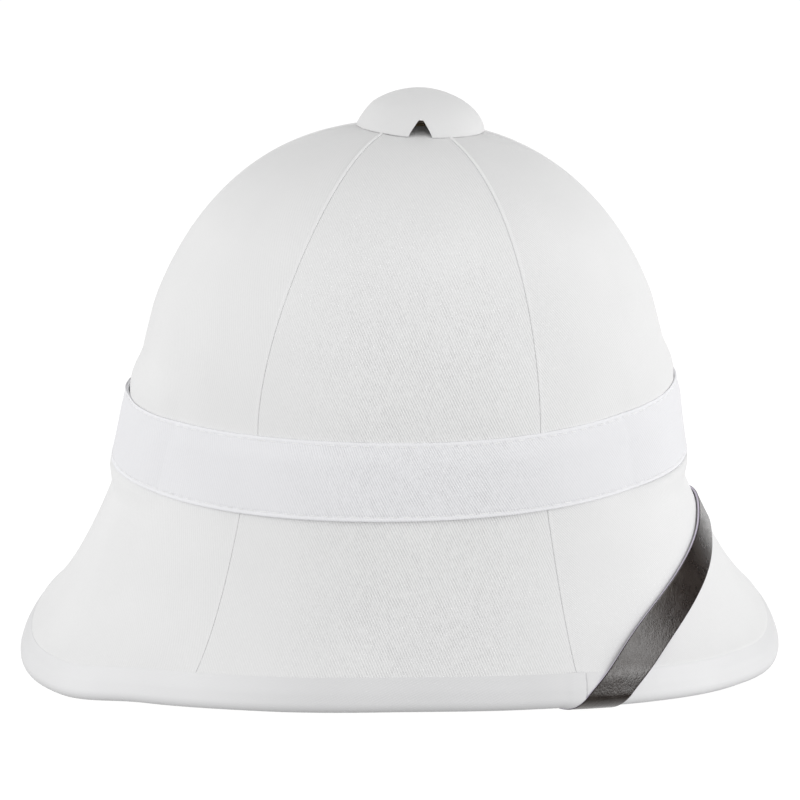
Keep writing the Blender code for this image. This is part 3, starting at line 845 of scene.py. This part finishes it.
def make_binding():
    """Bias tape folded round the rim, lapped at its joint and dented by the strap."""
    azimuth, girth = ring(900, 4.0)
    near_joint = TAPE_JOINT + np.arange(-0.9, 3.4, 0.16) * 360.0 / girth
    azimuth = np.sort(np.concatenate([azimuth, near_joint]))
    az = azimuth[:, None]
    place_round = (azimuth / 360.0 * girth)[:, None]

    # Steps down the binding's face, closer at its upper edge, which is turned under.
    face_part = np.concatenate([(0.0, 0.035, 0.075, 0.13), np.linspace(0.2, 1.0, 11)[:-1]])

    def face(radius, swell, thin, sunk):
        """Section of one side of the tape: down the face, round the rim, up inside."""
        arc = np.radians(np.linspace(0, 180, 25))[None, :]
        depth = ROUND_DEPTH - radius * np.cos(arc)
        around = place(az, 4.0 + 0 * depth, depth, radius * np.sin(arc))
        normal = place(az, 3.5, -1.0 + 0 * az) - place(az, 3.5, 0.0 * az)
        top = place(az, 3.0, 0.0 * az)
        outside, inside = (top + (side * radius - ROUND_DEPTH) * normal for side in (1, -1))
        t = face_part[None, :, None]
        first = outside * (1 - t) + around[:, :1] * t
        last = around[:, -1:] * t[:, ::-1] + inside * (1 - t[:, ::-1])
        bulge = (swell * np.sin(math.pi * t) ** 0.8 - thin * (1 - smoothstep(0.0, 0.7, t))
                 - sunk * (1 - t / 0.13).clip(0.0) ** 2)
        first = first + bulge * normal
        return np.concatenate([first, around, last], 1)

    # The edge is thinner at the front and back, where the cloth is drawn over the rim.
    ends = smoothstep(45.0, 15.0, 90.0 - np.abs(az % 180.0 - 90.0))[..., None]
    behind = ends * (np.abs(az - 180.0) < 90.0)[..., None]
    outer = face(ROUND_R, 0.12, 1.12 + 0.25 * ends, 0.50 - 0.36 * ends - 0.14 * behind)
    inner = face(ROUND_R - BINDING, 0.0, 0.20, 0.42)
    turn = np.linspace(0, math.pi, 25)
    way = np.concatenate([ROUND_R * math.pi / 2 + HEM_ABOVE_EDGE * (1 - face_part),
                          ROUND_R * (math.pi / 2 - turn), -ROUND_R * math.pi / 2 - face_part])
    # The tape's end is folded under and lies over its start, towards the back.
    joint = TAPE_JOINT / 360.0 * girth + JOINT_SLANT * (way[0] - way)[None, :]
    past = (place_round - joint + girth / 2) % girth - girth / 2
    lap = 0.50 * smoothstep(-0.12, 0.04, past) * (1 - smoothstep(5.0, 9.0, past))
    lap = lap - 0.40 * np.exp(-((past + 0.38) / 0.27) ** 2)
    # The strap, drawn tight, presses into the tape where it goes round the rim.
    signed = (az + 180.0) % 360.0 - 180.0
    run = np.linspace(80.0, 20.0, 121)
    right, left = (np.interp(way, strap_way(sign * run), run)[None, :] for sign in (1, -1))
    from_strap = (np.abs(signed) - np.where(signed > 0, right, left)) / 360.0 * girth
    pressed = 1 - smoothstep(STRAP_W * 0.58, STRAP_W * 0.75, np.abs(from_strap))
    where = np.concatenate([smoothstep(0.0, 0.5, face_part), 0 * turn + 1.0,
                            0 * face_part])[None, :]
    outer = outer + unit(outer - inner) * (lap - 0.05 - STRAP_DENT * pressed * where)[..., None]
    low = unit(outer[:, -1:] - outer[:, -2:-1])
    crest_in = (outer[:, -1:] + inner[:, -1:]) / 2 + 0.30 * low
    points = np.concatenate([outer, crest_in, inner[:, ::-1]], 1)
    foot = np.where(np.arange(points.shape[1]) <= outer.shape[1], 0.0, BINDING)
    points[..., 2] = np.maximum(points[..., 2], foot[None, :])
    down = along(points, 1)
    uv = round_uv(azimuth, -girth, down, down[:, -1:] + 0.5)
    tape = loft("rim_tape", points, uv, TAPE)
    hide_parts("rim_binding")


make_binding()


# Pith body, seen from below

def make_pith():
    """Hollow body under the cloth, uneven inside."""
    azimuth = np.arange(0, 360, 1.5)[:, None]
    rows = np.concatenate([np.linspace(0.10, 0.98, 46), np.linspace(1.0, 2.0, 14),
                           np.linspace(2.04, 3.0, 30), np.linspace(3.2, 4.0, 5)])[None, :]
    relief = 0.18 * unevenness(azimuth * 1.7 + 40, rows * 1.3, 1.0)
    inner = place(azimuth, rows, SHELL[1] - 0.1 + relief * smoothstep(4.0, 3.5, rows) * 0.6,
                  np.where(rows == 4.0, -0.4, 0.0))
    coarse = np.concatenate([np.linspace(0.10, 0.98, 16), np.linspace(1.0, 2.0, 4),
                             np.linspace(2.1, 3.0, 8), [4.0]])[None, :]
    outer = place(azimuth, coarse, SHELL[0] + 0 * azimuth)
    lip = np.concatenate([place(azimuth, 4.0, 2.4 + 0 * azimuth, 1.6),
                          place(azimuth, 4.0, 4.7 + 0 * azimuth, 1.6)], 1)
    points = np.concatenate([outer, lip, inner[:, ::-1]], 1)
    down = along(points, 1)
    uv = round_uv(azimuth, 2.4 * 360.0, down, down[:, -1:] + 4.0)
    body = loft("pith_body", points, uv, pith_material())
    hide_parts("pith_shell")


make_pith()


# Ventilator button

def make_button():
    """Hollow dome, its edge turned in, with a pointed vent notch on each side."""
    wide, close = np.linspace(-90, -14, 40)[:-1], np.linspace(-14, 14, 57)
    half = np.concatenate([wide, close, -wide[:0:-1]])
    turn = np.radians(np.concatenate([90.0 + half, 270.0 + half]))
    lean, upright = math.sin(BUTTON_TILT), math.cos(BUTTON_TILT)
    aside = np.abs(np.cos(turn))                     # 0 in the middle of a notch
    arch_w, arch_h = np.array(NOTCH_ARCH).T

    def shell(radius, high, rows):
        """Rows from the pole (0) to the foot (1)."""
        foot_ahead = BUTTON_Y + radius * np.cos(turn)
        seat = 0.12 + 0.33 * np.clip(np.sin(3 * turn + 0.4) * np.sin(7 * turn), 0, 1)
        foot_z = crown_height(foot_ahead, radius * np.sin(turn)) + seat
        arch = NOTCH_Z + np.interp(aside * radius, arch_w, arch_h)
        end_z = np.where(aside * radius < arch_w[-1], np.maximum(arch, foot_z), foot_z)
        out = []
        for t in rows:
            # polar angle where the meridian meets the end height, then the straight foot
            forward_tip = -radius * np.cos(turn) * lean
            reach = np.clip((end_z - BUTTON_Z - forward_tip) / (high * upright), 0.04, 1)
            last = np.arccos(reach ** (1 / BUTTON_FULLNESS))
            below = np.maximum(BUTTON_Z + forward_tip + high * upright * 0.04 - end_z, 0.0)
            skirt = np.clip((t - 0.9) / 0.1, 0, 1)
            a = last * min(t / 0.9, 1.0)
            wide = radius * np.sin(a) ** BUTTON_FULLNESS
            drawn = max(t - 0.55, 0.0) / 0.45
            wide = wide + BUTTON_FLARE * np.maximum(-np.cos(turn), 0.15) \
                * (drawn ** 4 - 0.6 * math.sin(math.pi * drawn ** 0.8))
            f, h = wide * np.cos(turn), high * np.cos(a) ** BUTTON_FULLNESS
            ahead = BUTTON_Y + f * upright + h * lean
            z = BUTTON_Z - f * lean + h * upright
            side = wide * np.sin(turn)
            ahead = ahead * (1 - skirt) + skirt * np.where(
                below > 0, BUTTON_Y + radius * np.cos(turn), ahead)
            z = z - skirt * np.maximum(z - end_z, 0.0)
            out.append(np.stack([-side, -ahead, z], -1))
        return np.stack(out, 1)

    rows_out = np.concatenate([np.linspace(0.02, 0.9, 30), np.linspace(0.91, 1.0, 6)])
    rows_in = np.concatenate([np.linspace(0.02, 0.9, 16), [0.95, 1.0]])
    outer = shell(BUTTON_R, BUTTON_H, rows_out)
    inner = shell(BUTTON_R - BUTTON_WALL, BUTTON_H - BUTTON_WALL, rows_in)
    rim = (outer[:, -1] + inner[:, -1]) / 2
    body = np.concatenate([outer, rim[:, None], inner[:, ::-1]], 1)
    poles = [(0.0, -BUTTON_Y - high * lean, BUTTON_Z + high * upright)
             for high in (BUTTON_H, BUTTON_H - BUTTON_WALL)]
    button = turned("button_cover", body, poles, (1, 0), BUTTON)
    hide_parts("vent_button")


make_button()


# Chin strap and its studs

def wrap_profile(azimuth):
    """The strap's mid surface at one azimuth: distances round the rim and points."""
    lift = STRAP_GAP + STRAP_T / 2
    brim = np.concatenate([np.linspace(1.5, 3.0, 61), [4.0]])
    out = ROUND_R - STRAP_DENT + FOLD_EASE - 0.15 + STRAP_T / 2
    over = np.interp(brim, (2.55, 2.98), (0.0, out - ROUND_DEPTH - lift))
    under = np.interp(brim, (2.72, 2.98), (SHELL[1], ROUND_DEPTH + ROUND_R + FOLD_EASE))
    turn = np.radians(np.arange(6, 180, 6))
    inside = ROUND_R + FOLD_EASE + lift
    radius = out + (inside - out) * smoothstep(math.radians(110), math.radians(165), turn)
    arc = place(azimuth, np.full_like(turn, 4.0), ROUND_DEPTH - radius * np.cos(turn),
                radius * np.sin(turn))
    points = np.concatenate([
        place(azimuth, brim, -over - lift), arc, place(azimuth, brim, under + lift)[::-1]])
    length = along(points)
    return length[len(brim) + len(turn) // 2] - length, points


TABLE_AZ = np.arange(-96.0, 96.01, 0.5)
TABLE_WAY = np.arange(-82.0, 92.01, 0.5)


def eased(rows, times):
    """Rows smoothed along the way round the rim, their ends kept."""
    for _ in range(times):
        middle = (rows[:, :-2] + 2 * rows[:, 1:-1] + rows[:, 2:]) / 4
        rows = np.concatenate([rows[:, :1], middle, rows[:, -1:]], 1)
    return rows


def wrap_table():
    """The strap's mid surface on an even grid of azimuth and distance round the rim."""
    table = np.zeros((len(TABLE_AZ), len(TABLE_WAY), 3))
    for i, azimuth in enumerate(TABLE_AZ):
        way, points = wrap_profile(azimuth)
        for k in range(3):
            table[i, :, k] = np.interp(-TABLE_WAY, -way, points[:, k])
    # Leather bridges the binding's step, but lies close round the rim.
    on_brim = smoothstep(7.0, 13.0, TABLE_WAY)[None, :, None]
    return eased(table, 3) * (1 - on_brim) + eased(table, 120) * on_brim


WRAP = wrap_table()


def wrap_at(azimuth, way):
    """Point of the strap's mid surface, between those of the table."""
    a = (np.asarray(azimuth) - TABLE_AZ[0]) / 0.5
    b = (np.asarray(way) - TABLE_WAY[0]) / 0.5
    i = np.clip(a.astype(int), 0, len(TABLE_AZ) - 2)
    j = np.clip(b.astype(int), 0, len(TABLE_WAY) - 2)
    s, t = (a - i)[..., None], (b - j)[..., None]
    return ((WRAP[i, j] * (1 - s) + WRAP[i + 1, j] * s) * (1 - t)
            + (WRAP[i, j + 1] * (1 - s) + WRAP[i + 1, j + 1] * s) * t)


def wrap_frame(azimuth, way):
    """Point, outward normal and mm per degree on the strap's mid surface."""
    across = wrap_at(azimuth + 0.5, way) - wrap_at(azimuth - 0.5, way)
    down = wrap_at(azimuth, way - 0.5) - wrap_at(azimuth, way + 0.5)
    return wrap_at(azimuth, way), unit(np.cross(across, down)), \
        np.linalg.norm(across, axis=-1)


def make_strap():
    """Leather strip with rounded edges and half-round ends, drawn over the rim."""
    right = np.concatenate([np.linspace(0, 53.5, 108)[:-1], np.linspace(53.5, 66, 61)[:-1],
                            np.linspace(66, 86, 41)])
    azimuth = np.concatenate([-right[:0:-1], right])
    way = strap_way(azimuth)
    kernel = np.ones(9) / 9
    middle, _, per_degree = wrap_frame(azimuth, way)
    run = np.stack([np.gradient(azimuth) * per_degree, np.gradient(way)], -1)
    padded = np.concatenate([np.repeat(run[:1], 4, 0), run, np.repeat(run[-1:], 4, 0)])
    run = unit(np.stack([np.convolve(padded[:, k], kernel, "valid") for k in (0, 1)], -1))
    length = along(middle)
    from_end = np.minimum(length, length[-1] - length)
    radius = STRAP_W / 2
    half = np.where(from_end < radius,
                    np.sqrt(np.maximum(radius ** 2 - (radius - from_end) ** 2, 1.2)), radius)

    # Section: part of the way to the corner, mm beyond it, height. It starts on the top.
    corner, t = 0.42, STRAP_T / 2
    flat = np.linspace(-1, 1, 15)[1:-1]
    edge = [(corner * math.cos(a), t - corner + corner * math.sin(a))
            for a in np.radians(np.linspace(90, 0, 6))]
    edge += [(corner, 0.16), (corner - 0.10, 0.0), (corner, -0.16)]
    edge += [(beyond, -high) for beyond, high in edge[5::-1]]
    section = [(x, 0.0, t - 0.10 * abs(x) ** 6) for x in flat]
    section += [(1.0, beyond, high) for beyond, high in edge]
    section += [(x, 0.0, -t) for x in flat[::-1]]
    section += [(-1.0, -beyond, high) for beyond, high in edge[::-1]]

    loops, sheet = [], []
    for part, beyond, high in section:
        off = part * (half - corner) + beyond
        point, normal, _ = wrap_frame(azimuth - off * run[:, 1] / per_degree,
                                      way + off * run[:, 0])
        loops.append(point + high * normal)
        sheet.append(high if abs(beyond) > 0.25 else 3.0)
    points = np.stack(loops, 1)
    count = points.shape[1]
    uv = metres(length[:, None] + np.zeros((1, count + 1)),
                np.array(sheet + sheet[:1])[None, :] + 0 * length[:, None])
    drawn_in = [end.mean(1, keepdims=True) * 0.98 + end * 0.02
                for end in (points[:1], points[-1:])]
    points = np.concatenate([drawn_in[0], points, drawn_in[1]])
    uv = np.concatenate([uv[:1], uv, uv[-1:]])
    strap = loft("strap_leather_strip", points, uv, leather_material(), wrap=False,
                 cap="strip")
    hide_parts("chin_strap")


def stud_seat(side):
    """Foot and axis of a stud, inside the shell under the strap's end."""
    rows = np.array(STRAP_LINE)[::-1]
    way = STRAP_LINE[-1][1] + STUD_FROM_END
    azimuth = side * float(np.interp(way, rows[:, 1], rows[:, 0]))
    point, normal, _ = wrap_frame(np.array([azimuth]), np.array([way]))
    return point[0] - normal[0] * (STRAP_GAP + STRAP_T / 2), normal[0]


def make_studs():
    """Plain steel studs: a pin through the strap and a low domed head."""
    steel = steel_material()
    head = STRAP_GAP + STRAP_T + GAP
    profile = [(0.0, GAP), (STUD_PIN_R, GAP), (STUD_PIN_R, head), (STUD_HEAD_R - 0.25, head),
               (STUD_HEAD_R, head + 0.25), (STUD_HEAD_R, head + 0.6)]
    profile += [(STUD_HEAD_R * math.cos(a), head + 0.6 + (STUD_HEAD_T - 0.6) * math.sin(a))
                for a in np.radians((15, 30, 45, 60, 75, 86))]
    profile += [(0.0, head + STUD_HEAD_T)]
    for side, name, node in ((1, "stud_right", "strap_stud_right"),
                             (-1, "stud_left", "strap_stud_left")):
        centre, axis = stud_seat(side)
        across = unit(np.cross(axis, (0.0, 0.0, 1.0)))
        up = np.cross(across, axis)
        rows = np.array([[centre + axis * h + r * (across * math.cos(t) + up * math.sin(t))
                          for r, h in profile] for t in np.radians(np.arange(0, 360, 9))])
        stud = turned(name, rows[:, 1:-1], rows[0, [0, -1]], (1, 2), steel)
        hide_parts(node)


make_strap()
make_studs()


# Floor, light and camera

def make_floor():
    """Plain white floor, just under the helmet."""
    mesh = bpy.data.meshes.new("floor")
    around = [(FLOOR_RADIUS * math.cos(math.radians(a)),
               FLOOR_RADIUS * math.sin(math.radians(a)), -0.0002) for a in range(0, 360, 5)]
    mesh.from_pydata(around, [], [list(range(len(around)))])
    n = Nodes("floor_white")
    n.finish((FLOOR_WHITE, FLOOR_WHITE, FLOOR_WHITE, 1.0), 0.9,
             Emission_Color=(1.0, 1.0, 1.0, 1.0), Emission_Strength=FLOOR_GLOW,
             Specular_IOR_Level=0.1)
    mesh.materials.append(n.material)
    floor = add_object("floor", mesh)
    # The floor's glow keeps it white without lighting the helmet from below.
    floor.visible_diffuse = floor.visible_glossy = floor.visible_shadow = False


def direction(azimuth, elevation):
    """Unit vector from the helmet: azimuth 0 is the front, 90 the wearer's left."""
    a, e = math.radians(azimuth), math.radians(elevation)
    return Vector((math.sin(a) * math.cos(e), -math.cos(a) * math.cos(e), math.sin(e)))


def make_lights():
    """Two soft round lights, low at the front and the back."""
    for name, azimuth, elevation, distance, width, power in LIGHTS:
        data = bpy.data.lights.new(name, "AREA")
        data.shape, data.size, data.energy = "DISK", width, power
        lamp = add_object(name, data)
        way = direction(azimuth, elevation)
        lamp.location = Vector((0, 0, 0.1)) + way * distance
        lamp.rotation_euler = way.to_track_quat("Z", "Y").to_euler()
        lamp.visible_camera = lamp.visible_glossy = False


def lobes(n, base, rows):
    """Background light: the sum of soft lobes, each round one direction."""
    way = n.tree.nodes.new("ShaderNodeTexCoord").outputs["Generated"]
    total = base
    for name, azimuth, elevation, spread, strength in rows:
        toward = n.add("ShaderNodeVectorMath", {0: way, 1: direction(azimuth, elevation)},
                       out="Value", operation="DOT_PRODUCT")
        lobe = n.add("ShaderNodeMapRange", {
            "Value": toward, "From Min": math.cos(math.radians(spread)), "To Max": strength},
            interpolation_type="SMOOTHSTEP", label=name)
        total = n.math("ADD", total, lobe)
    return n.add("ShaderNodeBackground", {"Color": (1.0, 1.0, 1.0, 1.0), "Strength": total})


def make_world():
    """White backdrop for the camera, soft light all round and a darker studio in gloss."""
    world = bpy.context.scene.world or bpy.data.worlds.new("studio")
    bpy.context.scene.world = world
    world.use_nodes = True
    world.cycles.sampling_method = "NONE"       # so each kind of ray sees its own studio
    world.node_tree.nodes.clear()
    n = Nodes(tree=world.node_tree)
    path = n.tree.nodes.new("ShaderNodeLightPath").outputs
    mirrored = n.times(path["Is Glossy Ray"],
                       n.math("LESS_THAN", path["Diffuse Depth"], 0.5))
    seen = lobes(n, WORLD_BASE, WORLD_LOBES)
    for ray, other in ((mirrored, lobes(n, GLOSS_BASE, GLOSS_LOBES)),
                       (path["Is Camera Ray"], lobes(n, 1.05, ()))):
        seen = n.add("ShaderNodeMixShader", {0: ray, 1: seen, 2: other})
    n.add("ShaderNodeOutputWorld", {0: seen}, out=None)


def make_camera():
    """The camera that was fitted to the photograph."""
    data = bpy.data.cameras.new("camera")
    data.lens, data.sensor_width, data.sensor_fit = CAMERA_LENS, 36.0, "HORIZONTAL"
    data.clip_start, data.clip_end = 0.01, 100.0
    camera = add_object("camera", data)
    way = direction(CAMERA_AZIMUTH, CAMERA_ELEVATION)
    camera.location = Vector(CAMERA_TARGET) + way * CAMERA_DISTANCE
    turn = way.to_track_quat("Z", "Y") @ Quaternion((0, 0, 1), math.radians(CAMERA_ROLL))
    camera.rotation_euler = turn.to_euler()
    bpy.context.scene.camera = camera


make_floor()
make_lights()
make_world()
make_camera()
view = bpy.context.scene.view_settings
view.view_transform, view.look, view.exposure, view.gamma = "Standard", "None", 0.0, 1.0
